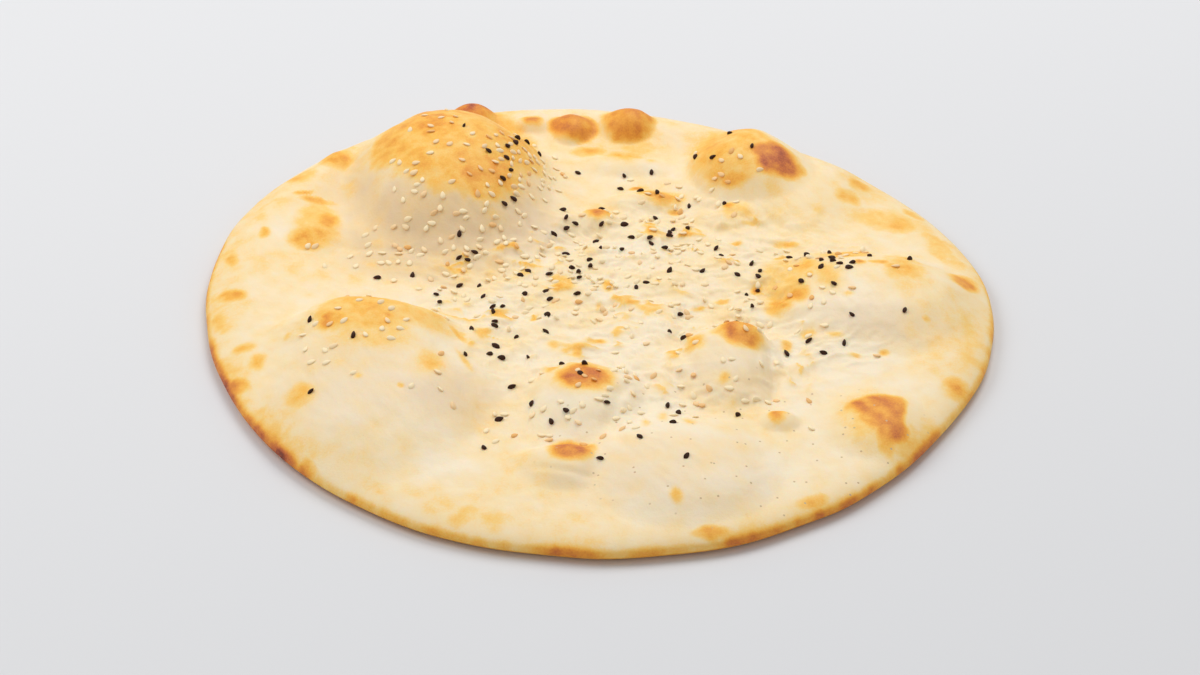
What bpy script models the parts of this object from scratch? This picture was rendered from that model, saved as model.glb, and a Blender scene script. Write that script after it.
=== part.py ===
"""A round leavened naan: a disc of dough, puffed and blistered, with seeds baked into its top.

The bread is one solid. It lies flat on its underside, with +Z up, and the origin is at the middle of
its outline, on the surface that it rests on. -Y is the side nearest the person who eats it.
"""

import math
import random
from collections import namedtuple

import bmesh
import bpy
import numpy as np
from mathutils import Matrix, Vector, noise
from mathutils.bvhtree import BVHTree

MM = 0.001

# Outline of the bread seen from above, and the height of its rim, in mm. Each has twelve values,
# one every 30 degrees from +X, anticlockwise. The rim rose most at the back.
OUTLINE_RADII = (144.6, 140.5, 138.4, 146.3, 152.3, 151.9, 143.6, 140.5, 144.2, 147.0, 145.7, 142.6)
RIM_TOPS = (9.5, 9.0, 13.0, 13.0, 15.0, 14.0, 11.0, 9.0, 8.5, 8.0, 8.0, 8.5)

# Thickness of the dough, in mm
SHEET_TOP = 9.0            # top of the plain sheet between the bubbles
RIM_WIDTH = 20.0           # how far in from the edge the rim rounds over
RIM_CREST_INSET = 17.0     # how far in from the edge the rim is thickest
EDGE_HEIGHT = 2.8          # height of the outermost line above the table
UNDER_ROUND = 7.0          # how far in from the edge the underside starts to lift
WOBBLE = 0.8               # how far the edge strays from its smooth outline
WOBBLE_LENGTH = 24.0
ROLL_HEIGHT = 0.7          # slow unevenness of the sheet
ROLL_LENGTH = 38.0
LUMP_HEIGHT = 1.7          # knobbly skin of the seeded middle
LUMP_LENGTH = 11.0
MIDDLE_AT = (20.0, -3.0)   # centre and reach of the seeded middle
MIDDLE_REACH = (98.0, 80.0)

# A bubble in the dough: place, half-width, reach to the back and to the front, turn in degrees,
# rise, and how softly its foot runs into the sheet
Puff = namedtuple("Puff", "x y wide back front turn rise soft")
PUFFS = (
    # big puff at the back left, and the broad swelling that it stands on
    Puff(-58, 80, 40, 47, 54, 8, 25.0, 0.25),
    Puff(-54, 62, 43, 50, 42, 0, 8.0, 0.80),
    # big puff at the front left, and the swelling that runs from it to the rim
    Puff(-82, -28, 35, 20, 46, -2, 15.0, 0.35),
    Puff(-77, -58, 38, 46, 50, -6, 10.5, 0.45),
    # puff at the back right, the swelling that it stands on, and the small blister at its foot
    Puff(60, 87, 23, 28, 25, 14, 15.5, 0.60),
    Puff(70, 80, 33, 30, 32, 0, 7.0, 0.80),
    Puff(55, 55, 10, 9, 9, 0, 4.2, 0.35),
    # broad puffs on the right and at the front
    Puff(101, 2, 37, 24, 38, -4, 10.0, 0.40),
    Puff(28, -102, 31, 26, 30, 0, 6.5, 0.40),
    # tall blister right of the middle, with its own small cap
    Puff(45, -43, 18, 22, 26, 0, 7.5, 0.35),
    Puff(51, -33, 10, 9, 11, 0, 9.0, 0.40),
    # tall blister below the middle, and the one in front of it
    Puff(-5, -63, 20, 16, 27, 0, 6.8, 0.40),
    Puff(-11, -102, 15, 8, 15, 0, 4.6, 0.36),
    # blisters along the back
    Puff(-51, 126, 12, 12, 12, 0, 11.0, 0.20),
    Puff(-27, 122, 8, 6, 6, -20, 5.5, 0.30),
    Puff(-10.5, 121, 10.5, 8, 10, -8, 7.0, 0.20),
    Puff(12.5, 123, 12.5, 11, 13, 0, 9.5, 0.20),
    # bubbles of the left rim
    Puff(-101, 94, 12, 10, 10, 40, 7.0, 0.35),
    Puff(-116, 80, 11, 8, 9, 35, 4.0, 0.35),
    Puff(-108, 47, 13, 16, 17, 15, 4.0, 0.40),
    Puff(-102, -75, 10, 9, 9, 0, 2.5, 0.50),
    # small blisters in the middle and at the front
    Puff(0, 53, 8, 7, 8, 0, 3.6, 0.45),
    Puff(62, -79, 7, 6, 6, 0, 2.6, 0.50),
    # folds that cross the right side and lie behind the middle
    Puff(89, 22, 28, 5, 8, 3, 2.6, 0.50),
    Puff(69, 13, 14, 5, 8, 8, 2.6, 0.50),
    Puff(11, 96, 19, 5, 9, -8, 2.6, 0.50),
    Puff(17, 69, 12, 5, 8, 0, 2.4, 0.50),
    # scorched swelling at the front right
    Puff(96, -80, 17, 20, 18, 25, 3.0, 0.50),
)

# Hollows pressed into the sheet between the puffs: place, half-width, half-depth, depth
Hollow = namedtuple("Hollow", "x y wide deep drop")
HOLLOWS = (
    Hollow(-44, 15, 24, 10, 1.8),
    Hollow(-6, 39, 14, 8, 1.8),
    Hollow(34, 59, 11, 16, 2.0),
    Hollow(-26, -9, 26, 14, 1.2),
    Hollow(13, -77, 16, 8, 1.2),
    Hollow(-37, -77, 12, 24, 2.4),
    Hollow(69, -63, 14, 16, 1.2),
)

# Seeds: full length, width and thickness in mm, and how deep each sits in the dough
SEED_SIZE = (2.9, 1.75, 1.3)
SEED_SUNK = 0.35
SEED_SIDES = 5
SEED_RINGS = 4
SEED_COUNT = 140
SEED_GAP = 2.4
SEED_DRAW = 11
# Where the seeds lie thickest: place, spread across and deep, and each patch's share of them
SeedPatch = namedtuple("SeedPatch", "x y wide deep share")
SEED_PATCHES = (
    SeedPatch(10, 40, 14, 22, 34),
    SeedPatch(35, 60, 16, 22, 18),
    SeedPatch(-20, 5, 20, 12, 22),
    SeedPatch(48, 18, 16, 14, 14),
    SeedPatch(90, 18, 14, 12, 14),
    SeedPatch(-60, 15, 22, 14, 12),
    SeedPatch(-30, -22, 8, 12, 9),
    SeedPatch(20, -25, 28, 12, 7),
    SeedPatch(-12, -50, 10, 8, 5),
    SeedPatch(12, -84, 22, 12, 20),
    SeedPatch(-80, -55, 22, 26, 9),
    SeedPatch(-35, 75, 6, 16, 10),
    SeedPatch(75, -30, 18, 10, 6),
    SeedPatch(-30, -78, 10, 12, 5),
)

# How finely the solid is faceted: rings of facets between the middle of the top and the edge
TOP_RINGS = 24
RIM_CROWDING = 1.18        # above 1, the rings lie closer together near the edge
SMALL_PUFF = 12.5          # puffs up to this half-width get facets half as large


def round_curve(values, angle):
    """The smooth closed curve through values that are given at even steps of angle round the bread."""
    waves = np.fft.rfft(values) / len(values)
    curve = np.full_like(angle, waves[0].real)
    for turn in range(1, len(waves) - 1):
        curve += 2 * (waves[turn].real * np.cos(turn * angle) - waves[turn].imag * np.sin(turn * angle))
    return curve


def soft_max(a, b, fillet):
    """The larger of a and b, with the corner between them rounded."""
    blend = np.clip(0.5 + 0.5 * (a - b) / fillet, 0, 1)
    return b + (a - b) * blend + fillet * blend * (1 - blend)


def smooth_step(value, start, end):
    t = np.clip((value - start) / (end - start), 0, 1)
    return t * t * (3 - 2 * t)


def noise_at(x, y, length, layer):
    """Smooth noise from -1 to 1 over the plan, with bumps about length mm apart."""
    return np.array([noise.noise(Vector((px / length, py / length, layer))) for px, py in zip(x, y)])


def outline_radius(angle):
    """How far the edge lies from the middle: a smooth outline with a slight wobble."""
    smooth = round_curve(OUTLINE_RADII, angle)
    return smooth + WOBBLE * noise_at(smooth * np.cos(angle), smooth * np.sin(angle), WOBBLE_LENGTH, 1.5)


def puff_lift(x, y, puff):
    """How far one bubble's round cap stands above the sheet. It is negative outside the bubble."""
    turn = math.radians(puff.turn)
    across = (x - puff.x) * math.cos(turn) + (y - puff.y) * math.sin(turn)
    along = (y - puff.y) * math.cos(turn) - (x - puff.x) * math.sin(turn)
    reach = np.where(along > 0, puff.back, puff.front)
    distance = (across / puff.wide) ** 2 + (along / reach) ** 2
    # A ball's cap: this is the ball's radius as a multiple of the rise
    ball = min(max(0.5 + 0.5 * (puff.wide / puff.rise) ** 2, 1.5), 3.0)
    inside = 1 - (1 - (1 - 1 / ball) ** 2) * distance
    return puff.rise * (ball * np.sqrt(np.clip(inside, 0, 1)) - ball + 1)


def dough_top(x, y, inset):
    """Height in mm of the dough's top at a place in the plan that lies inset mm inside the edge."""
    warp_x = x + 2.2 * noise_at(x, y, 17.0, 5.5)
    warp_y = y + 2.2 * noise_at(x, y, 17.0, 9.5)
    crest = np.exp(-((inset - RIM_CREST_INSET) / 13.0) ** 2)
    lift = (round_curve(RIM_TOPS, np.arctan2(y, x)) - SHEET_TOP) * crest
    for hollow in HOLLOWS:
        away = ((x - hollow.x) / hollow.wide) ** 2 + ((y - hollow.y) / hollow.deep) ** 2
        lift -= hollow.drop * np.exp(-away)
    for puff in PUFFS:
        fillet = 0.6 + puff.soft * puff.rise
        lift = soft_max(puff_lift(warp_x, warp_y, puff), lift, fillet)
    middle = np.hypot((x - MIDDLE_AT[0]) / MIDDLE_REACH[0], (y - MIDDLE_AT[1]) / MIDDLE_REACH[1])
    lumps = LUMP_HEIGHT * noise_at(x, y, LUMP_LENGTH, 7.5)
    lumps *= (1 - smooth_step(middle, 0.6, 1.1)) * (1 - 0.75 * smooth_step(lift, 1.0, 6.0))
    rolls = ROLL_HEIGHT * noise_at(x, y, ROLL_LENGTH, 2.5)
    height = SHEET_TOP + lift + lumps + rolls
    rounding = np.clip(inset / RIM_WIDTH, 0, 1)
    return EDGE_HEIGHT + (height - EDGE_HEIGHT) * np.sqrt(1 - (1 - rounding) ** 2)


def dough_underside(inset):
    """Height in mm of the underside, flat but for the rounded edge."""
    rounding = np.clip(inset / UNDER_ROUND, 0, 1)
    return EDGE_HEIGHT * (1 - np.sqrt(1 - (1 - rounding) ** 2))


def place_in_plan(point):
    """Where a point of the double cone lies in the plan, in mm. Its own height stays as it is."""
    # On the cone, the height falls evenly from the pole to the edge, ring by ring
    ring = 1 - abs(point.z)
    # Each ring is a hexagon: even steps along its sides become even angles of a circle
    sixth = math.pi / 3
    first_corner = sixth / 2
    angle = math.atan2(point.y, point.x) - first_corner
    side_middle = math.floor(angle / sixth) + 0.5
    along_side = math.tan(angle - side_middle * sixth) / (2 * math.tan(sixth / 2))
    even = first_corner + (side_middle + along_side) * sixth
    reach = (1 - (1 - ring) ** RIM_CROWDING) * outline_radius(np.array([even]))[0]
    return Vector((reach * math.cos(even), reach * math.sin(even), point.z))


def is_on_small_puff(edge):
    middle = (edge.verts[0].co + edge.verts[1].co) / 2
    return any(
        puff.wide <= SMALL_PUFF and math.dist(middle.xy, (puff.x, puff.y)) < 1.2 * puff.wide
        for puff in PUFFS
    )


def make_dough():
    """The bread's body: a six-sided double cone, cut into even triangles and moved onto the dough."""
    shape = bmesh.new()
    bmesh.ops.create_uvsphere(shape, u_segments=6, v_segments=2, radius=1)
    bmesh.ops.subdivide_edges(shape, edges=shape.edges, cuts=TOP_RINGS - 1, use_grid_fill=True)
    for vertex in shape.verts:
        vertex.co = place_in_plan(vertex.co)
    upper = [edge for edge in shape.edges if min(vertex.co.z for vertex in edge.verts) > 1e-6]
    fine = [edge for edge in upper if is_on_small_puff(edge)]
    bmesh.ops.subdivide_edges(shape, edges=fine, cuts=1)
    bmesh.ops.triangulate(shape, faces=shape.faces)

    x, y, side = np.array([vertex.co for vertex in shape.verts]).T
    inset = outline_radius(np.arctan2(y, x)) - np.hypot(x, y)
    z = np.where(side > -1e-6, dough_top(x, y, inset), dough_underside(inset))
    for vertex, height in zip(shape.verts, z):
        vertex.co.z = height
        vertex.co *= MM
    mesh = bpy.data.meshes.new("naan")
    shape.to_mesh(mesh)
    shape.free()
    return bpy.data.objects.new("naan", mesh)


def seed_places():
    """Where the seeds lie, in mm from the origin: drawn patch by patch, and kept a little apart."""
    draw = random.Random(SEED_DRAW)
    shares = [patch.share for patch in SEED_PATCHES]
    places = []
    while len(places) < SEED_COUNT:
        patch = draw.choices(SEED_PATCHES, shares)[0]
        x = draw.gauss(patch.x, patch.wide)
        y = draw.gauss(patch.y, patch.deep)
        clear = all(math.hypot(x - px, y - py) > SEED_GAP for px, py, _ in places)
        if clear and math.hypot(x, y) < 122:
            places.append((x, y, draw.uniform(0, math.pi)))
    return places


def make_seed(name, place, dough_tree):
    """A seed as a small pointed ellipsoid that lies on the dough, a little sunk into it."""
    x, y, yaw = place
    above = Vector((x * MM, y * MM, 1))
    spot, normal, _, _ = dough_tree.ray_cast(above, Vector((0, 0, -1)))
    shape = bmesh.new()
    bmesh.ops.create_uvsphere(shape, u_segments=SEED_SIDES, v_segments=SEED_RINGS, radius=0.5)
    mesh = bpy.data.meshes.new(name)
    shape.to_mesh(mesh)
    shape.free()
    length, width, thickness = SEED_SIZE
    # The sphere's poles become the seed's two ends
    lay_down = Matrix.Rotation(math.pi / 2, 4, "Y")
    size = Matrix.Diagonal((length * MM, width * MM, thickness * MM, 1))
    turn = Matrix.Rotation(yaw, 4, "Z")
    upright = Vector((0, 0, 1)).rotation_difference(normal).to_matrix().to_4x4()
    middle = spot + normal * (0.5 - SEED_SUNK) * thickness * MM
    mesh.transform(Matrix.Translation(middle) @ upright @ turn @ size @ lay_down)
    return bpy.data.objects.new(name, mesh)


def fuse(body, pieces, collection):
    """Joins the pieces to the body with one Boolean union, and removes them."""
    union = body.modifiers.new("seeds", "BOOLEAN")
    union.operation = "UNION"
    union.operand_type = "COLLECTION"
    union.collection = collection
    union.solver = "MANIFOLD"
    bpy.context.view_layer.update()
    graph = bpy.context.evaluated_depsgraph_get()
    fused = bpy.data.meshes.new_from_object(body.evaluated_get(graph))
    body.modifiers.clear()
    body.data = fused
    for piece in pieces:
        bpy.data.objects.remove(piece)
    bpy.data.collections.remove(collection)


def flatten_underside(body):
    """Merges the coplanar facets of the flat underside into one face."""
    shape = bmesh.new()
    shape.from_mesh(body.data)
    flat = [face for face in shape.faces if max(vert.co.z for vert in face.verts) < 1e-6]
    bmesh.ops.dissolve_faces(shape, faces=flat, use_verts=True)
    bmesh.ops.triangulate(shape, faces=shape.faces)
    shape.to_mesh(body.data)
    shape.free()


def crust_material():
    material = bpy.data.materials.new("crust")
    material.use_nodes = True
    surface = material.node_tree.nodes["Principled BSDF"]
    surface.inputs["Base Color"].default_value = (0.87, 0.66, 0.38, 1)
    surface.inputs["Roughness"].default_value = 0.75
    surface.inputs["Metallic"].default_value = 0.0
    return material


def main():
    for old in list(bpy.data.objects):
        bpy.data.objects.remove(old)
    bread = bpy.data.collections.new("naan")
    seeds = bpy.data.collections.new("seeds")
    bpy.context.scene.collection.children.link(bread)
    bpy.context.scene.collection.children.link(seeds)

    dough = make_dough()
    bread.objects.link(dough)
    flatten_underside(dough)
    dough_tree = BVHTree.FromPolygons(
        [vertex.co for vertex in dough.data.vertices],
        [face.vertices for face in dough.data.polygons],
    )
    pieces = []
    for number, place in enumerate(seed_places()):
        seed = make_seed(f"seed_{number:03d}", place, dough_tree)
        seeds.objects.link(seed)
        pieces.append(seed)
    fuse(dough, pieces, seeds)
    dough.data.materials.append(crust_material())
    dough.data.shade_smooth()
    dough.data.set_sharp_from_angle(angle=math.radians(60))


main()
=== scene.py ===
"""The looks of a round leavened naan: its baked crust, black nigella seeds and pale sesame seeds.

The crust repeats the solid's form from the same named sizes, in mm, and adds the fine wrinkles and
the toasting. +Z is up, the bread lies on z = 0, and -Y is the side nearest the camera.
"""

import math
import random
from collections import namedtuple

import bmesh
import bpy
import numpy as np
from mathutils import Matrix, Vector, noise
from mathutils.bvhtree import BVHTree


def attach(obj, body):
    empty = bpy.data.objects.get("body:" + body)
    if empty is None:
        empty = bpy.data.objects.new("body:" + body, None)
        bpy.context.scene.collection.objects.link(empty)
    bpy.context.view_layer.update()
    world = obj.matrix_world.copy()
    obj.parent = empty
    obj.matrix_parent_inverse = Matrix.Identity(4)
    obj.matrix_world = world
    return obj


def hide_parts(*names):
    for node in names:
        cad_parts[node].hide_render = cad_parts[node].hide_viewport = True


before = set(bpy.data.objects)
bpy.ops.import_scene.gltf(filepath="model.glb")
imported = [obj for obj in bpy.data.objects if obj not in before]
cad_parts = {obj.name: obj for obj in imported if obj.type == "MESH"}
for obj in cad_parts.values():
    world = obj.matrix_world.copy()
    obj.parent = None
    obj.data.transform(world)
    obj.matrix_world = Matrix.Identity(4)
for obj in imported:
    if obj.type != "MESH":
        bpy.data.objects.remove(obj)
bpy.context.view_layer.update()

MM = 0.001

# Outline of the bread seen from above, the height of its rim, in mm, and how brown its edge is.
# Each has twelve values, one every 30 degrees from +X, anticlockwise.
OUTLINE_RADII = (144.6, 140.5, 138.4, 146.3, 152.3, 151.9, 143.6, 140.5, 144.2, 147.0, 145.7, 142.6)
RIM_TOPS = (9.5, 9.0, 13.0, 13.0, 15.0, 14.0, 11.0, 9.0, 8.5, 8.0, 8.0, 8.5)
EDGE_TONES = (0.30, 0.38, 0.40, 0.38, 0.44, 0.42, 0.46, 0.58, 0.44, 0.42, 0.48, 0.44)

# Thickness of the dough, in mm
SHEET_TOP = 9.0
RIM_WIDTH = 20.0
RIM_CREST_INSET = 17.0
RIM_CREST_WIDTH = 13.0
EDGE_HEIGHT = 2.8
UNDER_ROUND = 7.0
WOBBLE = 0.8
WOBBLE_LENGTH = 24.0
ROLL_HEIGHT = 0.7
ROLL_LENGTH = 38.0
LUMP_HEIGHT = 1.7
LUMP_LENGTH = 11.0
MIDDLE_AT = (20.0, -3.0)
MIDDLE_REACH = (98.0, 80.0)
MIDDLE_FADE = (0.6, 1.1)

# How a bubble's cap is shaped: how far its outline strays from an ellipse, over what length, the
# smallest fillet at its foot, in mm, and the limits of its ball's radius as a multiple of its rise
PUFF_STRAY = 2.2
PUFF_STRAY_LENGTH = 17.0
LEAST_FILLET = 0.6
ROUNDEST_BALL = 1.5
FLATTEST_BALL = 3.0
# Where the sheet's skin ends and a bubble's begins, as a lift in mm
PUFF_FOOT = (1.0, 6.0)

# Fine relief of the skin, in mm: how high it stands, and how far apart its bumps lie
KNOB_HEIGHT = 0.70
KNOB_LENGTH = 5.2
WRINKLE_HEIGHT = 0.75
WRINKLE_LENGTH = 10.0
FINE_WRINKLE_LENGTH = 6.5
STRETCH_HEIGHT = 0.26
STRETCH_LENGTH = 8.0
CREASE_STRAY = 1.6
CREASE_STRAY_LENGTH = 9.0

# A bubble in the dough: place, half-width, reach to the back and to the front, turn in degrees,
# rise, and how softly its foot runs into the sheet
Puff = namedtuple("Puff", "x y wide back front turn rise soft")
PUFFS = (
    # big puff at the back left, and the broad swelling that it stands on
    Puff(-58, 80, 40, 47, 54, 8, 25.0, 0.25),
    Puff(-54, 62, 43, 50, 42, 0, 8.0, 0.80),
    # big puff at the front left, and the swelling that runs from it to the rim
    Puff(-82, -28, 35, 20, 46, -2, 15.0, 0.35),
    Puff(-77, -58, 38, 46, 50, -6, 10.5, 0.45),
    # puff at the back right, the swelling that it stands on, and the small blister at its foot
    Puff(60, 87, 23, 28, 25, 14, 15.5, 0.60),
    Puff(70, 80, 33, 30, 32, 0, 7.0, 0.80),
    Puff(55, 55, 10, 9, 9, 0, 4.2, 0.35),
    # broad puffs on the right and at the front
    Puff(101, 2, 37, 24, 38, -4, 10.0, 0.40),
    Puff(28, -102, 31, 26, 30, 0, 6.5, 0.40),
    # tall blister right of the middle, with its own small cap
    Puff(45, -43, 18, 22, 26, 0, 7.5, 0.35),
    Puff(51, -33, 10, 9, 11, 0, 9.0, 0.40),
    # tall blister below the middle, and the one in front of it
    Puff(-5, -63, 20, 16, 27, 0, 6.8, 0.40),
    Puff(-11, -102, 15, 8, 15, 0, 4.6, 0.36),
    # blisters along the back
    Puff(-51, 126, 12, 12, 12, 0, 11.0, 0.20),
    Puff(-27, 122, 8, 6, 6, -20, 5.5, 0.30),
    Puff(-10.5, 121, 10.5, 8, 10, -8, 7.0, 0.20),
    Puff(12.5, 123, 12.5, 11, 13, 0, 9.5, 0.20),
    # bubbles of the left rim
    Puff(-101, 94, 12, 10, 10, 40, 7.0, 0.35),
    Puff(-116, 80, 11, 8, 9, 35, 4.0, 0.35),
    Puff(-108, 47, 13, 16, 17, 15, 4.0, 0.40),
    Puff(-102, -75, 10, 9, 9, 0, 2.5, 0.50),
    # small blisters in the middle and at the front
    Puff(0, 53, 8, 7, 8, 0, 3.6, 0.45),
    Puff(62, -79, 7, 6, 6, 0, 2.6, 0.50),
    # folds that cross the right side and lie behind the middle
    Puff(89, 22, 28, 5, 8, 3, 2.6, 0.50),
    Puff(69, 13, 14, 5, 8, 8, 2.6, 0.50),
    Puff(11, 96, 19, 5, 9, -8, 2.6, 0.50),
    Puff(17, 69, 12, 5, 8, 0, 2.4, 0.50),
    # scorched swelling at the front right
    Puff(96, -80, 17, 20, 18, 25, 3.0, 0.50),
)

# Hollows pressed into the sheet between the puffs: place, half-width, half-depth, depth
Hollow = namedtuple("Hollow", "x y wide deep drop")
HOLLOWS = (
    Hollow(-44, 15, 24, 10, 1.8),
    Hollow(-6, 39, 14, 8, 1.8),
    Hollow(34, 59, 11, 16, 2.0),
    Hollow(-26, -9, 26, 14, 1.2),
    Hollow(13, -77, 16, 8, 1.2),
    Hollow(-37, -77, 12, 24, 2.4),
    Hollow(69, -63, 14, 16, 1.2),
)

# Creases in the skin: the two ends, half-width and depth
Crease = namedtuple("Crease", "x1 y1 x2 y2 width depth")
CREASES = (
    Crease(60, -22, 61, -64, 1.6, 1.0),       # down the right of the tall blister
    Crease(29, -28, 36, -62, 1.8, 0.6),
    Crease(-23, -54, -24, -88, 1.8, 0.8),     # left of the blister below the middle
    Crease(9, -66, 3, -84, 1.8, 0.7),
    Crease(5, -80, 9, -98, 1.8, 0.7),
    Crease(-19, -109, -4, -112, 1.5, 0.5),
    Crease(-96, 34, -62, 24, 2.0, 0.5),
    Crease(42, 62, 60, 48, 1.5, 0.5),
)

# How the top is meshed: rings from the middle to the edge, before the top is cut twice as fine
CRUST_RINGS = 80
RIM_CROWDING = 1.1

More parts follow.
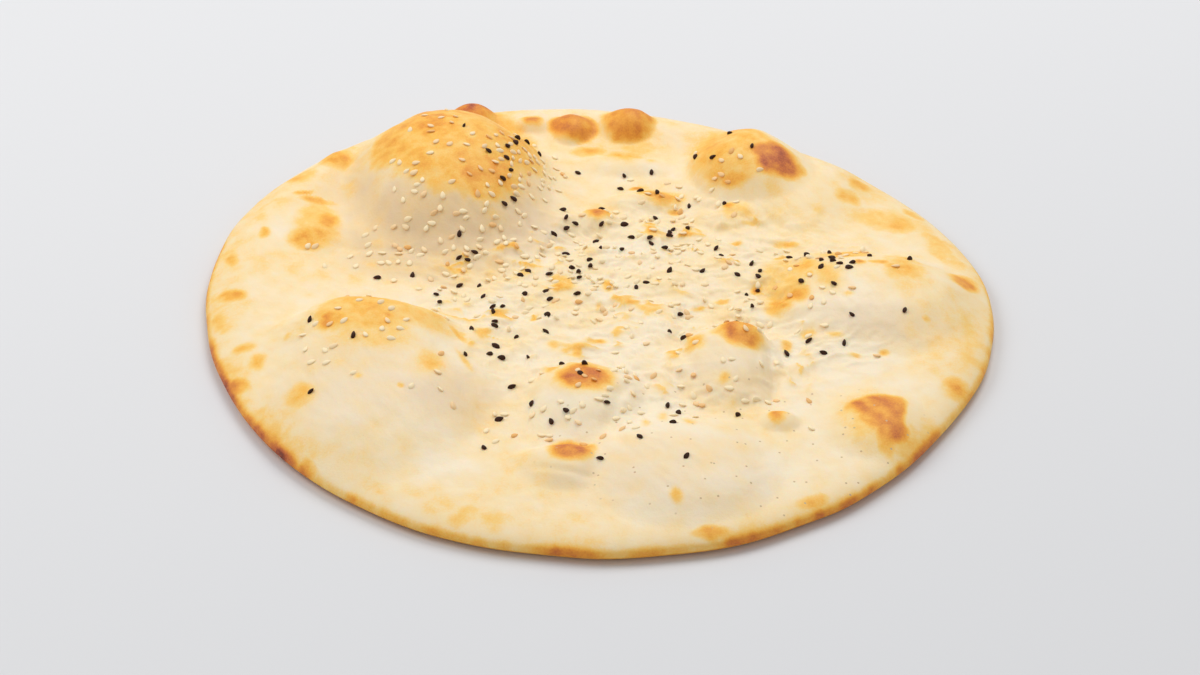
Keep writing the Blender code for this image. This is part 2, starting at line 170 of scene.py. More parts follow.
# A toasted spot: place, half-width, half-depth, turn in degrees, tone from 0 (pale) to 1 (darkest),
# and the share of it, from the middle, that has its full tone
Mark = namedtuple("Mark", "x y wide deep turn tone core")
MARKS = (
    # big puff at the back left
    Mark(-54, 92, 26, 38, 4, 0.37, 1.0),
    Mark(-67, 94, 13, 22, 0, 0.48, 0.4),
    Mark(-75, 86, 7, 17, -8, 0.48, 0.1),
    Mark(-79, 80, 6, 6, 0, 0.46, 0.2),
    Mark(-45, 58, 14, 12, 10, 0.38, 0.8),
    Mark(-47, 56, 10, 8, 30, 0.50, 0.2),
    Mark(-78, 80, 10, 14, 0, 0.36, 0.8),
    Mark(-39, 64, 6, 8, 20, 0.44, 0.1),
    Mark(-35, 104, 3, 12, 5, 0.46, 0.1),
    Mark(-24, 82, 3, 14, 5, 0.34, 0.1),
    # big puff at the front left
    Mark(-82, -30, 18, 15, 0, 0.36, 0.6),
    Mark(-68, -26, 19, 11, -14, 0.27, 0.5),
    Mark(-93, -35, 8, 6, 10, 0.48, 0.1),
    Mark(-94.5, -32, 3, 3, 0, 0.56, 0.1),
    Mark(-75, -34, 2.4, 3.2, 0, 0.54, 0.1),
    Mark(-78, -45, 17, 10, 0, 0.26, 0.3),
    Mark(-59, -57, 8, 9, 0, 0.34, 0.1),
    Mark(-46.5, -50, 1.8, 8, 22, 0.36, 0.1),
    Mark(-49.5, -31, 1.8, 9, 40, 0.36, 0.1),
    Mark(-61, -19, 8, 1.6, -20, 0.36, 0.2),
    Mark(-67, -70.5, 1.8, 1.8, 0, 0.38, 0.1),
    Mark(-82, -67, 2.2, 1.8, 0, 0.34, 0.1),
    Mark(-103, -71, 6, 7, 20, 0.36, 0.1),
    # left rim and the flat bubble beside it
    Mark(-106, 46, 9, 16, 8, 0.30, 0.5),
    Mark(-108, 37, 8, 7, 0, 0.44, 0.4),
    Mark(-108, 62, 8, 2.5, -8, 0.42, 0.2),
    Mark(-114, 66, 5, 1.5, 20, 0.44, 0.1),
    Mark(-102, 48, 4.5, 9, 0, 0.40, 0.3),
    Mark(-126, 39, 3, 5, 0, 0.40, 0.1),
    Mark(-136.5, 25, 3.5, 7, 10, 0.38, 0.1),
    Mark(-134, 0, 8, 4.5, -15, 0.46, 0.2),
    Mark(-137, -14, 6, 12, 10, 0.28, 0.1),
    Mark(-126, -34, 5, 4.5, 0, 0.38, 0.1),
    Mark(-110, -34, 3, 4, 0, 0.28, 0.1),
    Mark(-120, -43, 5, 6, 0, 0.38, 0.1),
    Mark(-126, -54, 5, 7, 25, 0.60, 0.1),
    Mark(-110, -88, 3.5, 14, 38, 0.58, 0.1),
    Mark(-97, -103, 3, 8, 42, 0.46, 0.1),
    Mark(-101, 90, 8, 8, 40, 0.42, 0.3),
    Mark(-115, 80, 8, 8, 30, 0.36, 0.3),
    Mark(-112, 112, 8, 6, -40, 0.36, 0.2),
    # blisters along the back
    Mark(-51, 127, 11, 11, 0, 0.76, 0.3),
    Mark(-26, 123, 5, 4, -25, 0.62, 0.1),
    Mark(-10, 119, 8.5, 7.5, 0, 0.58, 0.8),
    Mark(12.5, 122, 10, 11, 0, 0.54, 0.7),
    Mark(-4, 105, 8, 4.5, 0, 0.38, 0.3),
    Mark(10, 100, 10, 6, -6, 0.38, 0.3),
    Mark(22, 96, 4, 4, 0, 0.30, 0.1),
    Mark(15, 77, 3.2, 1.4, 0, 0.55, 0.1),
    Mark(24, 70, 9, 6.5, 0, 0.40, 0.5),
    # puff at the back right and the blister at its foot
    Mark(52, 92, 16, 24, 10, 0.38, 0.5),
    Mark(48, 76, 9, 9, 0, 0.36, 0.3),
    Mark(61, 74, 13, 8, 0, 0.20, 0.2),
    Mark(69, 80, 10, 9, -10, 0.72, 0.55),
    Mark(73, 76, 5.5, 5.5, 0, 0.60, 0.3),
    Mark(52, 70.5, 7, 5, 0, 0.46, 0.1),
    Mark(54, 56, 9, 7, 0, 0.30, 0.2),
    Mark(51, 58.5, 4, 3.5, 0, 0.50, 0.2),
    Mark(58, 49.5, 5, 2, 20, 0.34, 0.1),
    # right back rim
    Mark(102, 76, 6, 5, -30, 0.42, 0.2),
    Mark(96, 67, 6, 5, -30, 0.36, 0.3),
    Mark(115, 50, 8, 7, 40, 0.36, 0.3),
    Mark(121, 61, 4, 6, 30, 0.36, 0.1),
    Mark(103, 94, 8, 3, -42, 0.46, 0.3),
    Mark(126.5, 36.5, 5, 5, 0, 0.28, 0.1),
    Mark(134, 25, 5, 7, 0, 0.28, 0.1),
    Mark(112, 53, 18, 9, -14, 0.28, 0.4),
    Mark(129, 34, 6, 18, 24, 0.26, 0.4),
    Mark(134.5, 9, 7, 6, -45, 0.46, 0.4),
    # seeded middle
    Mark(0.5, 54.5, 5.5, 7, 0, 0.56, 0.1),
    Mark(30, 61, 2.6, 1.6, 0, 0.46, 0.1),
    Mark(34.5, 49, 2, 2.6, 0, 0.44, 0.1),
    Mark(51.5, 36, 2.6, 1.8, -20, 0.44, 0.1),
    Mark(71, 35, 5, 2.4, 10, 0.46, 0.1),
    Mark(3.5, 8, 3, 4, 0, 0.42, 0.1),
    Mark(21.5, 9, 1.8, 1.6, 0, 0.36, 0.1),
    Mark(28, -6, 2, 1.6, 0, 0.40, 0.1),
    Mark(36.5, -8, 4, 1.5, 20, 0.42, 0.1),
    Mark(45, -3, 3.4, 2.2, 10, 0.40, 0.1),
    Mark(1, -4.5, 1.6, 1.4, 0, 0.36, 0.1),
    Mark(0, -30, 4, 2.4, 0, 0.44, 0.1),
    Mark(-12.5, 11, 4, 3.5, 0, 0.40, 0.1),
    Mark(-15, -34, 3, 4, 0, 0.32, 0.1),
    Mark(-23, -15.5, 1.8, 2.6, 0, 0.44, 0.1),
    Mark(-48, -30, 3, 2, 0, 0.26, 0.1),
    # right side
    Mark(96, 28, 12, 1.2, -2, 0.44, 0.4),
    Mark(94, 21, 14, 6, 0, 0.34, 0.3),
    Mark(70, 6, 12, 18, 0, 0.27, 0.4),
    Mark(76, 13, 7, 8, 0, 0.40, 0.2),
    Mark(66, -8, 6, 8, 0, 0.44, 0.2),
    Mark(84, 2, 8, 12, 0, 0.26, 0.2),
    Mark(112, 8, 9, 22, 0, 0.27, 0.4),
    Mark(69.5, 25, 5, 1.4, 50, 0.44, 0.1),
    Mark(58.8, 4, 2.6, 2.8, 0, 0.52, 0.1),
    Mark(77.5, 4, 2.4, 2.6, 0, 0.44, 0.1),
    Mark(72, -6, 6.5, 6, 0, 0.42, 0.3),
    Mark(68, -11, 2.4, 2.4, 0, 0.56, 0.1),
    Mark(96.5, 9, 2.4, 2.6, -12, 0.56, 0.1),
    Mark(103.5, 9, 4, 2.6, -10, 0.54, 0.1),
    Mark(115, 16.5, 1.6, 4.5, -20, 0.42, 0.1),
    Mark(111, 3, 9, 11, 0, 0.33, 0.2),
    Mark(90, -10.5, 2.2, 2.2, 0, 0.32, 0.1),
    Mark(67.5, -32.5, 2, 3.6, 0, 0.40, 0.1),
    Mark(75, -26, 3.6, 4, 0, 0.32, 0.1),
    Mark(85, -28, 4, 1.6, -25, 0.30, 0.1),
    Mark(118, -23, 2, 2.6, -20, 0.32, 0.1),
    Mark(101, -40, 1.6, 2, 0, 0.40, 0.1),
    Mark(91.5, -40, 3, 1.6, -20, 0.30, 0.1),
    # tall blisters right of and below the middle
    Mark(50, -34, 8.5, 9, 0, 0.58, 0.5),
    Mark(35, -37, 4.5, 6, 0, 0.38, 0.2),
    Mark(44, -60, 3.5, 4, 0, 0.28, 0.1),
    Mark(-5, -60, 10, 10, 0, 0.60, 0.3),
    Mark(-9, -100, 7, 7.5, 0, 0.62, 0.6),
    # front right
    Mark(100.5, -81, 5, 14, -10, 0.60, 0.7),
    Mark(95, -72, 10, 4.5, 29, 0.60, 0.7),
    Mark(95, -79, 6, 8, 0, 0.56, 0.6),
    Mark(105, -92, 6, 7, 0, 0.28, 0.4),
    Mark(109, -92, 8, 5, 38, 0.28, 0.2),
    Mark(95, -80, 16, 20, 0, 0.28, 0.2),
    Mark(62.5, -78, 4, 5, -15, 0.52, 0.2),
    Mark(125, -57, 6, 8, -20, 0.42, 0.1),
    # front
    Mark(25.3, -124.5, 2.6, 3, 0, 0.40, 0.1),
    Mark(-44, -130, 7, 5, 10, 0.30, 0.3),
    Mark(71, -122, 7, 4, 35, 0.34, 0.3),
    Mark(38, -139, 7, 3, 14, 0.46, 0.3),
    Mark(16, -85, 1.6, 4, 0, 0.26, 0.1),
    Mark(23, -79, 2, 5, 0, 0.28, 0.1),
    Mark(31, -84, 2, 4, 0, 0.26, 0.1),
)

# Painted shade on the flanks that face the camera, mixed with the greyer look of skin stretched thin
# there, as spots whose tone is the share of that
SHADED_THIN_PATCHES = (
    Mark(-60, 38, 38, 22, 4, 0.85, 0.6),
    Mark(-92, 66, 11, 24, 8, 0.60, 0.4),
    Mark(-24, 52, 9, 20, 0, 0.50, 0.3),
    Mark(-52, -70, 18, 16, 20, 0.50, 0.2),
    Mark(-84, -66, 28, 22, 0, 0.26, 0.4),
    Mark(106, -25, 24, 9, -8, 0.34, 0.3),
    Mark(62, 68, 20, 8, 0, 0.10, 0.3),
    Mark(46, -56, 15, 14, 0, 0.22, 0.3),
    Mark(20, -112, 34, 16, 0, 0.20, 0.3),
)

# How toasted the top is where no spot lies, from 0 to 1, and what is added to that at the back, in
# the middle, along the rim, and on what stands proud there
PLAIN_TONE = 0.065
BACK_TONE = 0.06
MIDDLE_TONE = -0.045
RIM_TONE = 0.06
PROUD_TONE = 0.10
PROUD_MIDDLE_TONE = 0.24
# The browned edge: width of its soft band and of its darkest line, in mm
EDGE_BAND_WIDTH = 8.0
EDGE_LINE_WIDTH = 1.6
# The underside: its plain tone, and what the hot oven floor's blotches add
UNDERSIDE_TONE = 0.22
BLOTCH_TONE = 0.48
# How far the outline of a spot strays from an ellipse, and over what length, in mm
SPOT_STRAY = 1.9
SPOT_STRAY_LENGTH = 9.0
# Where the dough was pricked: place and reach, in mm
DOCKED_AT = (50, -95)
DOCKED_REACH = (70, 42)

# Seeds: full length, width and thickness in mm, how ridged and how pointed each is, how far it tilts,
# and how far it rolls about its own length, in radians
Seed = namedtuple("Seed", "size ridges taper tilt roll")
NIGELLA = Seed((2.9, 1.75, 1.3), 0.12, 0.28, 0.25, 6.3)
SESAME = Seed((3.1, 1.9, 0.9), 0.0, 0.30, 0.12, 0.5)
SEED_SIDES = 12
SEED_RINGS = 9
SEED_REACH = 122           # no seed lies farther from the middle of the bread, in mm
SEED_RISE = 0.24           # height of a seed's middle above the crust, as a share of its thickness
SEED_SPREAD = 0.07         # how much the seeds differ in size
SEED_COUNT = 140
SEED_GAP = 2.4
SEED_DRAW = 11
# Where the nigella lies thickest: place, spread across and deep, and each patch's share of the seeds
SeedPatch = namedtuple("SeedPatch", "x y wide deep share")
SEED_PATCHES = (
    SeedPatch(10, 40, 14, 22, 34),
    SeedPatch(35, 60, 16, 22, 18),
    SeedPatch(-20, 5, 20, 12, 22),
    SeedPatch(48, 18, 16, 14, 14),
    SeedPatch(90, 18, 14, 12, 14),
    SeedPatch(-60, 15, 22, 14, 12),
    SeedPatch(-30, -22, 8, 12, 9),
    SeedPatch(20, -25, 28, 12, 7),
    SeedPatch(-12, -50, 10, 8, 5),
    SeedPatch(12, -84, 22, 12, 20),
    SeedPatch(-80, -55, 22, 26, 9),
    SeedPatch(-35, 75, 6, 16, 10),
    SeedPatch(75, -30, 18, 10, 6),
    SeedPatch(-30, -78, 10, 12, 5),
)
SESAME_COUNT = 480
SESAME_GAP = 2.2
SESAME_DRAW = 5
SESAME_PATCHES = (
    SeedPatch(-30, 72, 9, 14, 60),
    SeedPatch(-55, 34, 24, 9, 60),
    SeedPatch(-25, 12, 26, 16, 70),
    SeedPatch(18, 30, 24, 18, 80),
    SeedPatch(20, 0, 26, 16, 50),
    SeedPatch(28, -60, 22, 10, 40),
    SeedPatch(-5, -78, 22, 10, 25),
    SeedPatch(74, -8, 16, 20, 40),
    SeedPatch(-58, 62, 20, 16, 30),
    SeedPatch(-80, -40, 16, 16, 25),
    SeedPatch(34, 66, 14, 14, 25),
    SeedPatch(92, 22, 14, 8, 12),
    SeedPatch(-62, 112, 16, 10, 8),
)

# Colours as a display shows them, red, green and blue from 0 to 255, from the palest crust to the
# darkest blister, each with the tone that it stands for
CRUST_COLOURS = (
    (0.00, (246, 229, 198)),
    (0.14, (248, 220, 168)),
    (0.26, (250, 205, 119)),
    (0.38, (248, 187, 79)),
    (0.50, (238, 162, 57)),
    (0.62, (223, 139, 51)),
    (0.75, (201, 110, 52)),
    (0.88, (172, 84, 46)),
    (1.00, (128, 58, 36)),
)
# Greyer colour of painted shade on the camera-facing flanks and of stretched skin
SHADED_THIN_SKIN = (220, 188, 146)
# Painted shade inside the pinholes
PINHOLE_SHADE = (206, 178, 138)
NIGELLA_COLOUR = (60, 36, 24)
SESAME_COLOUR = (252, 232, 190)
TOASTED_SESAME = (238, 176, 96)
FLOOR_COLOUR = (222, 222, 223)

# How the crust scatters light below its skin: how much, how far each colour goes, and how deep in m
SKIN_SOFTNESS = 0.25
SKIN_COLOURS = (1.0, 0.55, 0.25)
SKIN_DEPTH = 0.003
# Patterns of the surfaces: how fine each is, as bumps per metre
COARSE_MOTTLE = 420.0
FINE_MOTTLE = 1500.0
GRAIN = 900.0
PINHOLES = 105.0
NIGELLA_GRAIN = 2500.0
# How strong the mottling is on pale dough, and how much stronger on brown
MOTTLE_LEAST = 0.06
MOTTLE_BY_TONE = 0.30
PINHOLE_RADIUS = 0.04      # as a share of the space between pinholes

# Camera and light
VIEW_DOWN = math.radians(33.5)
CAMERA_DISTANCE = 1.02
CAMERA_TARGET = Vector((0.00085, -0.0215, 0.005))
CAMERA_LENS = 85.0
# Each lamp: place in metres, width and power
LAMPS = {"key": ((0.35, 0.85, 1.25), 0.9, 11.0), "side": ((-1.0, 0.2, 1.0), 0.7, 6.0)}
SKY_COLOUR = (240, 241, 243)
SKY_STRENGTH = 0.59
FLOOR_SIZE = 8
FLOOR_DROP = 0.0002


def round_curve(values, angle):
    """The smooth closed curve through values that are given at even steps of angle round the bread."""
    waves = np.fft.rfft(values) / len(values)
    curve = np.full_like(angle, waves[0].real)
    for turn in range(1, len(waves) - 1):
        curve += 2 * (waves[turn].real * np.cos(turn * angle) - waves[turn].imag * np.sin(turn * angle))
    return curve


def outline_radius(angle):
    """How far the edge lies from the middle: a smooth outline with a slight wobble."""
    smooth = round_curve(OUTLINE_RADII, angle)
    return smooth + WOBBLE * noise_at(smooth * np.cos(angle), smooth * np.sin(angle), WOBBLE_LENGTH, 1.5)


def soft_max(a, b, fillet):
    """The larger of a and b, with the corner between them rounded."""
    blend = np.clip(0.5 + 0.5 * (a - b) / fillet, 0, 1)
    return b + (a - b) * blend + fillet * blend * (1 - blend)


def smooth_step(value, start, end):
    """0 up to the start, 1 from the end, and a smooth rise in between."""
    t = np.clip((value - start) / (end - start), 0, 1)
    return t * t * (3 - 2 * t)


def noise_at(x, y, length, layer):
    """Smooth noise from -1 to 1 over the plan, with bumps about length mm apart. Each layer is a
    pattern of its own."""
    return np.array([noise.noise(Vector((px / length, py / length, layer))) for px, py in zip(x, y)])


def strayed(x, y, far, length, layer_x, layer_y):
    """Places moved by up to far mm, so that what is laid out by them gets an uneven outline."""
    return x + far * noise_at(x, y, length, layer_x), y + far * noise_at(x, y, length, layer_y)


def turned(x, y, spot):
    """Places seen from a spot's own middle, across and along it."""
    turn = math.radians(spot.turn)
    across = (x - spot.x) * math.cos(turn) + (y - spot.y) * math.sin(turn)
    along = (y - spot.y) * math.cos(turn) - (x - spot.x) * math.sin(turn)
    return across, along


def puff_lift(x, y, puff):
    """How far one bubble's round cap stands above the sheet. It is negative outside the bubble."""
    across, along = turned(x, y, puff)
    reach = np.where(along > 0, puff.back, puff.front)
    distance = (across / puff.wide) ** 2 + (along / reach) ** 2
    # A ball's cap: this is the ball's radius as a multiple of the rise
    ball = min(max(0.5 + 0.5 * (puff.wide / puff.rise) ** 2, ROUNDEST_BALL), FLATTEST_BALL)
    inside = 1 - (1 - (1 - 1 / ball) ** 2) * distance
    return puff.rise * (ball * np.sqrt(np.clip(inside, 0, 1)) - ball + 1)


def edge_rounding(height, inset):
    """Brings a height of the top down to the edge's own height over the width of the rim."""
    rounding = np.clip(inset / RIM_WIDTH, 0, 1)
    return EDGE_HEIGHT + (height - EDGE_HEIGHT) * np.sqrt(1 - (1 - rounding) ** 2)


def dough_lift(x, y, inset):
    """How far rim, hollows and puffs bring the top above or below the plain sheet."""
    warp_x, warp_y = strayed(x, y, PUFF_STRAY, PUFF_STRAY_LENGTH, 5.5, 9.5)
    crest = np.exp(-((inset - RIM_CREST_INSET) / RIM_CREST_WIDTH) ** 2)
    lift = (round_curve(RIM_TOPS, np.arctan2(y, x)) - SHEET_TOP) * crest
    for hollow in HOLLOWS:
        away = ((x - hollow.x) / hollow.wide) ** 2 + ((y - hollow.y) / hollow.deep) ** 2
        lift -= hollow.drop * np.exp(-away)
    for puff in PUFFS:
        fillet = LEAST_FILLET + puff.soft * puff.rise
        lift = soft_max(puff_lift(warp_x, warp_y, puff), lift, fillet)
    return lift


def crease_depth(x, y):
    """How deep the creases cut at each place."""
    cut = np.zeros_like(x)
    sway_x, sway_y = strayed(x, y, CREASE_STRAY, CREASE_STRAY_LENGTH, 31.5, 35.5)
    for crease in CREASES:
        run = np.array((crease.x2 - crease.x1, crease.y2 - crease.y1), float)
        length = np.hypot(*run)
        run /= length
        along = (sway_x - crease.x1) * run[0] + (sway_y - crease.y1) * run[1]
        off = (sway_y - crease.y1) * run[0] - (sway_x - crease.x1) * run[1]
        past_end = np.maximum(0, np.maximum(-along, along - length))
        away = np.hypot(off / crease.width, past_end / (2 * crease.width))
        cut = np.maximum(cut, crease.depth * np.exp(-away ** 2))
    return cut


def middle_share(x, y):
    """1 in the knobbly seeded middle of the bread, fading to 0 around it."""
    away = np.hypot((x - MIDDLE_AT[0]) / MIDDLE_REACH[0], (y - MIDDLE_AT[1]) / MIDDLE_REACH[1])
    return 1 - smooth_step(away, *MIDDLE_FADE)


def dough_skin(x, y, inset, lift):
    """Fine relief of the baked skin: knobs and wrinkles in the middle, stretch marks on the puffs."""
    on_puff = smooth_step(lift, *PUFF_FOOT)
    inside = smooth_step(inset, 4.0, 16.0)
    knobs = noise_at(x, y, KNOB_LENGTH, 12.5) + 0.5 * noise_at(x, y, KNOB_LENGTH / 2, 14.5)
    bend = 4 * noise_at(x, y, 14.0, 41.5)
    # A wrinkle runs wherever the noise crosses zero
    wrinkles = np.exp(-(noise_at(x + bend, y * 1.7, WRINKLE_LENGTH, 16.5) / 0.09) ** 2)
    slant_x = x * 0.8 - y * 0.4
    slant_y = y * 1.5 + x * 0.6 + bend
    wrinkles += 0.7 * np.exp(-(noise_at(slant_x, slant_y, FINE_WRINKLE_LENGTH, 18.5) / 0.12) ** 2)
    swirl = 7 * noise_at(x, y, 42.0, 20.5)
    along_stretch = y * 0.83 - x * 0.56 + swirl
    stretch = noise_at((x * 0.83 + y * 0.56 + swirl) * 4.0, along_stretch, STRETCH_LENGTH, 22.5)
    middle = middle_share(x, y)
    relief = KNOB_HEIGHT * knobs * (0.3 + 0.7 * middle) * (1 - 0.6 * on_puff)
    relief += WRINKLE_HEIGHT * wrinkles * (0.08 + 0.92 * middle) * (1 - 0.8 * on_puff)
    relief += STRETCH_HEIGHT * stretch * (0.3 + 0.7 * on_puff)
    return relief * inside - crease_depth(x, y)


def dough_top(x, y, inset):
    """The top at places in the plan that lie inset mm inside the edge: its height in mm, and how far
    the fine relief alone stands up there."""
    lift = dough_lift(x, y, inset)
    lumps = LUMP_HEIGHT * noise_at(x, y, LUMP_LENGTH, 7.5)
    lumps *= middle_share(x, y) * (1 - 0.75 * smooth_step(lift, *PUFF_FOOT))
    rolls = ROLL_HEIGHT * noise_at(x, y, ROLL_LENGTH, 2.5)
    skin = dough_skin(x, y, inset, lift)
    height = edge_rounding(SHEET_TOP + lift + lumps + rolls + skin, inset)
    return height, skin + 0.6 * lumps


def dough_underside(inset):
    """Height in mm of the underside, flat but for the rounded edge."""
    rounding = np.clip(inset / UNDER_ROUND, 0, 1)
    return EDGE_HEIGHT * (1 - np.sqrt(1 - (1 - rounding) ** 2))


def spot_share(x, y, spot, ragged):
    """How much of a spot's tone each place has, from 0 to 1. Large spots have smoother outlines."""
    across, along = turned(x, y, spot)
    loose = max(0.5, 1.2 - 0.08 * min(spot.wide, spot.deep))
    away = np.hypot(across / spot.wide, along / spot.deep) + loose * ragged
    return 1 - smooth_step(away, spot.core, 1.5)


def shade_and_thin_share(x, y):
    """How much of the greyer colour the top has: painted shade on the flanks that face the camera, and
    stretched skin.
    """
    ragged = 0.25 * noise_at(x, y, 12.0, 81.5) + 0.12 * noise_at(1.8 * x + y, y - 0.5 * x, 8.0, 83.5)
    share = np.zeros_like(x)
    for spot in SHADED_THIN_PATCHES:
        share = np.maximum(share, spot.tone * spot_share(x, y, spot, 2 * ragged))
    return share


def top_tone(x, y, inset, proud):
    """How toasted the top is, from 0 to 1: a faint wash, toasted crests, soft spots and a browner rim."""
    ragged = 0.16 * noise_at(x, y, 7.0, 51.5) + 0.10 * noise_at(x, y, 2.6, 53.5)
    middle = middle_share(x, y)
    tone = PLAIN_TONE + BACK_TONE * smooth_step(y, -90.0, 0.0) + MIDDLE_TONE * middle
    tone += 0.10 * noise_at(x, y, 21.0, 55.5) + 0.08 * noise_at(x, y, 6.0, 57.5)
    tone += RIM_TONE * smooth_step(inset, 22.0, 5.0)
    patchy = smooth_step(noise_at(x, y * 1.3, 13.0, 59.5), -0.05, 0.45)
    tone += (PROUD_TONE + PROUD_MIDDLE_TONE * middle) * patchy * smooth_step(proud, 0.15, 0.9)
    edge = round_curve(EDGE_TONES, np.arctan2(y, x)) * (1 + 0.5 * noise_at(x, y, 16.0, 75.5))
    band = np.exp(-(inset / EDGE_BAND_WIDTH) ** 2) * (0.36 + 1.5 * ragged) * smooth_step(edge, 0.34, 0.6)
    line = np.exp(-(inset / EDGE_LINE_WIDTH) ** 2) * (0.8 + 1.2 * ragged)
    tone = np.maximum(tone, tone * 0.6 + edge * np.clip(band + line, 0, 1.1))
    sway_x, sway_y = strayed(x, y, SPOT_STRAY, SPOT_STRAY_LENGTH, 71.5, 73.5)
    for mark in MARKS:
        tone = np.maximum(tone, mark.tone * spot_share(sway_x, sway_y, mark, ragged))
    # The oven's draught toasts the skin in streaks
    streaks = noise_at(1.7 * x + 0.9 * y, 0.7 * y - 0.3 * x, 9.0, 77.5)
    return np.clip(tone * (1 + 0.26 * streaks + 0.25 * noise_at(x, y, 3.2, 79.5)), 0, 1)


def underside_tone(x, y):
    """How browned the underside is: blotches left by the hot oven floor."""
    blotch = noise_at(x, y, 24.0, 61.5) + 0.6 * noise_at(x, y, 9.0, 63.5)
    specks = 0.08 * noise_at(x, y, 4.0, 65.5)
    return UNDERSIDE_TONE + BLOTCH_TONE * smooth_step(blotch, 0.05, 0.75) + specks


def crust_places(angle, ring):
    """Where a point of the meshed disc lies in the plan, and how far inside the edge, in mm."""
    radius = outline_radius(angle)
    share = 1 - (1 - ring) ** RIM_CROWDING
    return share * radius * np.cos(angle), share * radius * np.sin(angle), (1 - share) * radius


def make_disc():
    """A six-sided double cone cut into even triangles, with its upper half cut twice as fine."""
    shape = bmesh.new()
    bmesh.ops.create_uvsphere(shape, u_segments=6, v_segments=2, radius=1)
    bmesh.ops.subdivide_edges(shape, edges=shape.edges, cuts=CRUST_RINGS - 1, use_grid_fill=True)
    upper = [edge for edge in shape.edges if min(vert.co.z for vert in edge.verts) > -1e-6]
    bmesh.ops.subdivide_edges(shape, edges=upper, cuts=1, use_grid_fill=True)
    mesh = bpy.data.meshes.new("crust")
    shape.to_mesh(mesh)
    shape.free()
    return mesh


def add_attribute(mesh, name, values):
    """Stores one number for each point of a mesh, for its material to read."""
    attribute = mesh.attributes.new(name, "FLOAT", "POINT")
    attribute.data.foreach_set("value", np.asarray(values, np.float32))


def make_crust():
    """The bread as one mesh, with its toasting kept as numbers at its points."""
    mesh = make_disc()
    start = np.empty(len(mesh.vertices) * 3)
    mesh.vertices.foreach_get("co", start)
    start = start.reshape(-1, 3)
    # On the double cone, the height falls evenly from the pole to the edge, ring by ring
    ring = 1 - np.abs(start[:, 2])
    # Each ring is a hexagon: even steps along its sides become even angles of a circle
    sixth = math.pi / 3
    first_corner = sixth / 2
    angle = np.arctan2(start[:, 1], start[:, 0]) - first_corner
    side_middle = np.floor(angle / sixth) + 0.5
    along_side = np.tan(angle - side_middle * sixth) / (2 * math.tan(sixth / 2))
    even = first_corner + (side_middle + along_side) * sixth
    x, y, inset = crust_places(even, ring)
    is_top = start[:, 2] > -1e-6
    z = dough_underside(inset)
    z[is_top], proud = dough_top(x[is_top], y[is_top], inset[is_top])
    mesh.vertices.foreach_set("co", (np.column_stack((x, y, z)) * MM).ravel())
    mesh.update()
    mesh.shade_smooth()

    tone = underside_tone(x, y)
    edge_share = np.exp(-(inset / EDGE_BAND_WIDTH) ** 2)
    edge_tone = round_curve(EDGE_TONES, np.arctan2(y, x)) * 1.1
    tone = tone * (1 - edge_share) + edge_tone * edge_share
    tone[is_top] = top_tone(x[is_top], y[is_top], inset[is_top], proud)
    add_attribute(mesh, "tone", tone)
    # The share of painted flank shade and greyer stretched skin at each point
    add_attribute(mesh, "shade_and_thin", shade_and_thin_share(x, y) * is_top)
    from_docked = np.hypot((x - DOCKED_AT[0]) / DOCKED_REACH[0], (y - DOCKED_AT[1]) / DOCKED_REACH[1])
    add_attribute(mesh, "docked", smooth_step(from_docked, 1.2, 0.7) * is_top)
    crust = bpy.data.objects.new("crust", mesh)
    bpy.context.scene.collection.objects.link(crust)
    return crust


def draw_places(draw, count, gap, patches, taken):
    """Places for seeds, patch by patch, kept a little apart from each other and from those taken."""
    shares = [patch.share for patch in patches]
    places = []
    while len(places) < count:
        patch = draw.choices(patches, shares)[0]
        x = draw.gauss(patch.x, patch.wide)
        y = draw.gauss(patch.y, patch.deep)
        clear = all(math.hypot(x - px, y - py) > gap for px, py, _ in places + taken)
        if clear and math.hypot(x, y) < SEED_REACH:
            places.append((x, y, draw.uniform(0, math.pi)))
    return places


def seed_shape(seed):
    """Points and faces of one seed along X: a drop with one pointed end, round or with long ridges."""
    shape = bmesh.new()
    bmesh.ops.create_uvsphere(shape, u_segments=SEED_SIDES, v_segments=SEED_RINGS, radius=0.5)
    points = np.array([vert.co for vert in shape.verts])
    faces = [[vert.index for vert in face.verts] for face in shape.faces]
    shape.free()
    # The sphere's poles become the seed's two ends
    along = points[:, 2] * 2
    around = np.arctan2(points[:, 1], points[:, 0])
    girth = (1 - seed.taper * along - 0.25 * along ** 4) * (1 + seed.ridges * np.cos(3 * around))
    drop = np.column_stack((along / 2, points[:, 0] * girth, points[:, 1] * girth))
    return drop * np.array(seed.size), faces


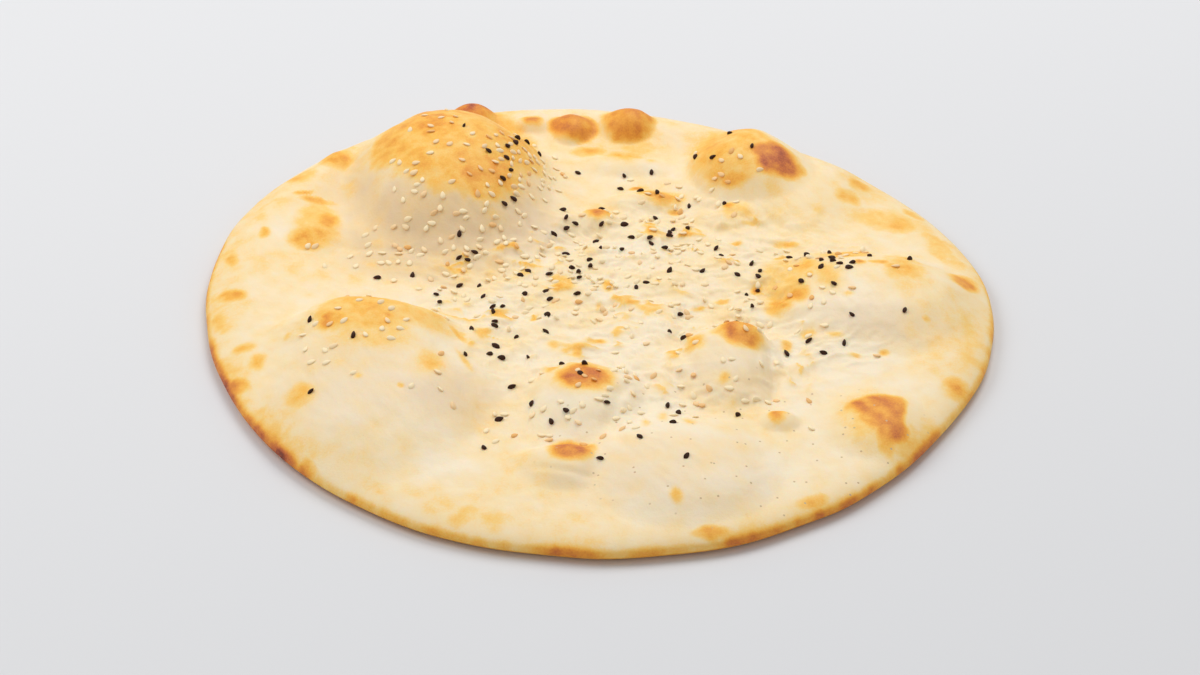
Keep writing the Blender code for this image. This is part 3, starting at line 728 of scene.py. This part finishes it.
def scatter(name, seed, places, crust, draw, material):
    """One mesh with a seed at each place, lying on the crust and a little sunk into it."""
    tree = BVHTree.FromPolygons(
        [vertex.co for vertex in crust.data.vertices],
        [face.vertices for face in crust.data.polygons],
    )
    tones = crust.data.attributes["tone"].data
    points, faces = seed_shape(seed)
    all_points = []
    all_faces = []
    tints = []
    for x, y, yaw in places:
        above = Vector((x * MM, y * MM, 1))
        spot, normal, face, _ = tree.ray_cast(above, Vector((0, 0, -1)))
        tilt = Matrix.Rotation(draw.gauss(0, seed.tilt), 3, "Y")
        roll = Matrix.Rotation(draw.uniform(0, seed.roll), 3, "X")
        upright = Vector((0, 0, 1)).rotation_difference(normal).to_matrix()
        turn = np.array(upright @ Matrix.Rotation(yaw, 3, "Z") @ (tilt @ roll))
        grow = draw.gauss(1.0, SEED_SPREAD)
        middle = np.array(spot) / MM + np.array(normal) * seed.size[2] * grow * SEED_RISE
        base = len(all_points) * len(points)
        all_points.append((points * grow @ turn.T + middle) * MM)
        all_faces.extend([[index + base for index in corners] for corners in faces])
        # A few seeds are toasted anywhere, and more of them where the crust is brown
        tone = tones[crust.data.polygons[face].vertices[0]].value
        tint = max(draw.random() ** 7, (0.2 + 0.7 * draw.random()) * smooth_step(tone, 0.24, 0.5))
        tints.extend([tint] * len(points))
    mesh = bpy.data.meshes.new(name)
    mesh.from_pydata(np.concatenate(all_points), [], all_faces)
    mesh.shade_smooth()
    add_attribute(mesh, "tint", tints)
    mesh.materials.append(material)
    seeds = bpy.data.objects.new(name, mesh)
    bpy.context.scene.collection.objects.link(seeds)
    return seeds


def linear(colour):
    """A display colour from 0 to 255 as the renderer's linear colour."""
    shares = [part / 255 for part in colour]
    return tuple(((s + 0.055) / 1.055) ** 2.4 if s > 0.04045 else s / 12.92 for s in shares) + (1.0,)


def new_material(name, roughness, specular):
    """A Principled material, its node tree and its shader."""
    material = bpy.data.materials.new(name)
    material.use_nodes = True
    tree = material.node_tree
    surface = tree.nodes["Principled BSDF"]
    surface.inputs["Roughness"].default_value = roughness
    surface.inputs["Specular IOR Level"].default_value = specular
    return material, tree, surface


def node(tree, kind, **settings):
    """A new node with the given settings."""
    made = tree.nodes.new(kind)
    for name, value in settings.items():
        setattr(made, name, value)
    return made


def noise_node(tree, place, scale, detail, roughness=0.5):
    """Noise from 0 to 1, at the places that a socket gives."""
    made = node(tree, "ShaderNodeTexNoise")
    made.inputs["Scale"].default_value = scale
    made.inputs["Detail"].default_value = detail
    made.inputs["Roughness"].default_value = roughness
    tree.links.new(place, made.inputs["Vector"])
    return made.outputs["Fac"]


def calculate(tree, operation, first, second, clamp=False):
    """A Math node of two sockets or numbers."""
    made = node(tree, "ShaderNodeMath", operation=operation, use_clamp=clamp)
    for socket, value in zip(made.inputs, (first, second)):
        if isinstance(value, (int, float)):
            socket.default_value = value
        else:
            tree.links.new(value, socket)
    return made.outputs[0]


def mix_colours(tree, share, first, second):
    """A colour mixed from two colours or sockets by a share."""
    made = node(tree, "ShaderNodeMix", data_type="RGBA")
    for socket, value in ((made.inputs[0], share), (made.inputs[6], first), (made.inputs[7], second)):
        if isinstance(value, (tuple, float)):
            socket.default_value = value
        else:
            tree.links.new(value, socket)
    return made.outputs[2]


def attribute_node(tree, name):
    """The number that the mesh stores under this name at each point."""
    made = node(tree, "ShaderNodeAttribute", attribute_name=name)
    return made.outputs["Fac"]


def crust_material():
    material, tree, surface = new_material("crust", 0.55, 0.32)
    surface.inputs["Subsurface Weight"].default_value = SKIN_SOFTNESS
    surface.inputs["Subsurface Radius"].default_value = SKIN_COLOURS
    surface.inputs["Subsurface Scale"].default_value = SKIN_DEPTH
    place = node(tree, "ShaderNodeTexCoord").outputs["Object"]
    tone = attribute_node(tree, "tone")
    shade_and_thin = attribute_node(tree, "shade_and_thin")
    docked = attribute_node(tree, "docked")

    # Toasting is mottled: strongly where it is brown, hardly where the dough is pale
    coarse = calculate(tree, "SUBTRACT", noise_node(tree, place, COARSE_MOTTLE, 3.0), 0.5)
    fine = calculate(tree, "SUBTRACT", noise_node(tree, place, FINE_MOTTLE, 2.0), 0.5)
    strength = calculate(tree, "MULTIPLY_ADD", tone, MOTTLE_BY_TONE)
    strength.node.inputs[2].default_value = MOTTLE_LEAST
    mottle = calculate(tree, "MULTIPLY", calculate(tree, "ADD", coarse, fine), strength)
    ramp_place = calculate(tree, "ADD", tone, mottle, clamp=True)
    ramp = node(tree, "ShaderNodeValToRGB")
    tree.links.new(ramp_place, ramp.inputs["Fac"])
    stops = ramp.color_ramp.elements
    while len(stops) < len(CRUST_COLOURS):
        stops.new(0.5)
    for stop, (position, colour) in zip(stops, CRUST_COLOURS):
        stop.position = position
        stop.color = linear(colour)

    # Painted shade on the flanks, together with stretched skin, makes them a little greyer where they
    # aren't toasted
    pale = calculate(tree, "SUBTRACT", 1.0, calculate(tree, "MULTIPLY", tone, 3.2), clamp=True)
    shade_and_skin_share = calculate(tree, "MULTIPLY", shade_and_thin, pale)
    colour = mix_colours(tree, shade_and_skin_share, ramp.outputs["Color"], linear(SHADED_THIN_SKIN))

    # Sparse pinholes pricked into the dough, with painted shade inside each and a pit in the bump
    pricks = node(tree, "ShaderNodeTexVoronoi", voronoi_dimensions="2D")
    pricks.inputs["Scale"].default_value = PINHOLES
    tree.links.new(place, pricks.inputs["Vector"])
    hole = calculate(tree, "LESS_THAN", pricks.outputs["Distance"], PINHOLE_RADIUS)
    hole = calculate(tree, "MULTIPLY", hole, docked)
    colour = mix_colours(tree, hole, colour, linear(PINHOLE_SHADE))
    tree.links.new(colour, surface.inputs["Base Color"])

    # Fine pores and floury grain
    grain = noise_node(tree, place, GRAIN, 4.0, 0.6)
    bump = node(tree, "ShaderNodeBump")
    bump.inputs["Strength"].default_value = 0.35
    bump.inputs["Distance"].default_value = 0.00035
    pitted = calculate(tree, "SUBTRACT", grain, calculate(tree, "MULTIPLY", hole, 0.6))
    tree.links.new(pitted, bump.inputs["Height"])
    tree.links.new(bump.outputs["Normal"], surface.inputs["Normal"])
    return material


def nigella_material():
    material, tree, surface = new_material("nigella", 0.7, 0.2)
    surface.inputs["Base Color"].default_value = linear(NIGELLA_COLOUR)
    place = node(tree, "ShaderNodeTexCoord").outputs["Object"]
    bump = node(tree, "ShaderNodeBump")
    bump.inputs["Strength"].default_value = 0.5
    bump.inputs["Distance"].default_value = 0.0002
    tree.links.new(noise_node(tree, place, NIGELLA_GRAIN, 2.0), bump.inputs["Height"])
    tree.links.new(bump.outputs["Normal"], surface.inputs["Normal"])
    return material


def sesame_material():
    material, tree, surface = new_material("sesame", 0.55, 0.25)
    tint = attribute_node(tree, "tint")
    colour = mix_colours(tree, tint, linear(SESAME_COLOUR), linear(TOASTED_SESAME))
    tree.links.new(colour, surface.inputs["Base Color"])
    return material


def make_floor():
    bpy.ops.mesh.primitive_plane_add(size=FLOOR_SIZE, location=(0, 0, -FLOOR_DROP))
    floor = bpy.context.object
    floor.name = "floor"
    material, tree, surface = new_material("floor", 0.8, 0.2)
    surface.inputs["Base Color"].default_value = linear(FLOOR_COLOUR)
    floor.data.materials.append(material)


def make_camera():
    camera = bpy.data.cameras.new("camera")
    camera.lens = CAMERA_LENS
    camera.clip_start = 0.01
    holder = bpy.data.objects.new("camera", camera)
    back = Vector((0, -math.cos(VIEW_DOWN), math.sin(VIEW_DOWN)))
    holder.location = CAMERA_TARGET + back * CAMERA_DISTANCE
    holder.rotation_euler = (math.pi / 2 - VIEW_DOWN, 0, 0)
    bpy.context.scene.collection.objects.link(holder)
    bpy.context.scene.camera = holder


def make_lights():
    for name, (place, width, power) in LAMPS.items():
        lamp = bpy.data.lights.new(name, "AREA")
        lamp.energy = power
        lamp.size = width
        holder = bpy.data.objects.new(name, lamp)
        holder.location = place
        holder.rotation_euler = Vector(place).to_track_quat("Z", "Y").to_euler()
        bpy.context.scene.collection.objects.link(holder)
    world = bpy.data.worlds.new("studio")
    world.use_nodes = True
    sky = world.node_tree.nodes["Background"]
    sky.inputs["Color"].default_value = linear(SKY_COLOUR)
    sky.inputs["Strength"].default_value = SKY_STRENGTH
    bpy.context.scene.world = world
    bpy.context.scene.view_settings.view_transform = "Standard"


def main():
    make_camera()
    make_lights()
    make_floor()
    crust = make_crust()
    crust.data.materials.append(crust_material())
    draw = random.Random(SEED_DRAW)
    nigella_places = draw_places(draw, SEED_COUNT, SEED_GAP, SEED_PATCHES, [])
    nigella = scatter("nigella", NIGELLA, nigella_places, crust, draw, nigella_material())
    draw = random.Random(SESAME_DRAW)
    sesame_places = draw_places(draw, SESAME_COUNT, SESAME_GAP, SESAME_PATCHES, nigella_places)
    sesame = scatter("sesame", SESAME, sesame_places, crust, draw, sesame_material())
    for piece in (crust, nigella, sesame):
        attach(piece, "root")
    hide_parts("naan")


main()
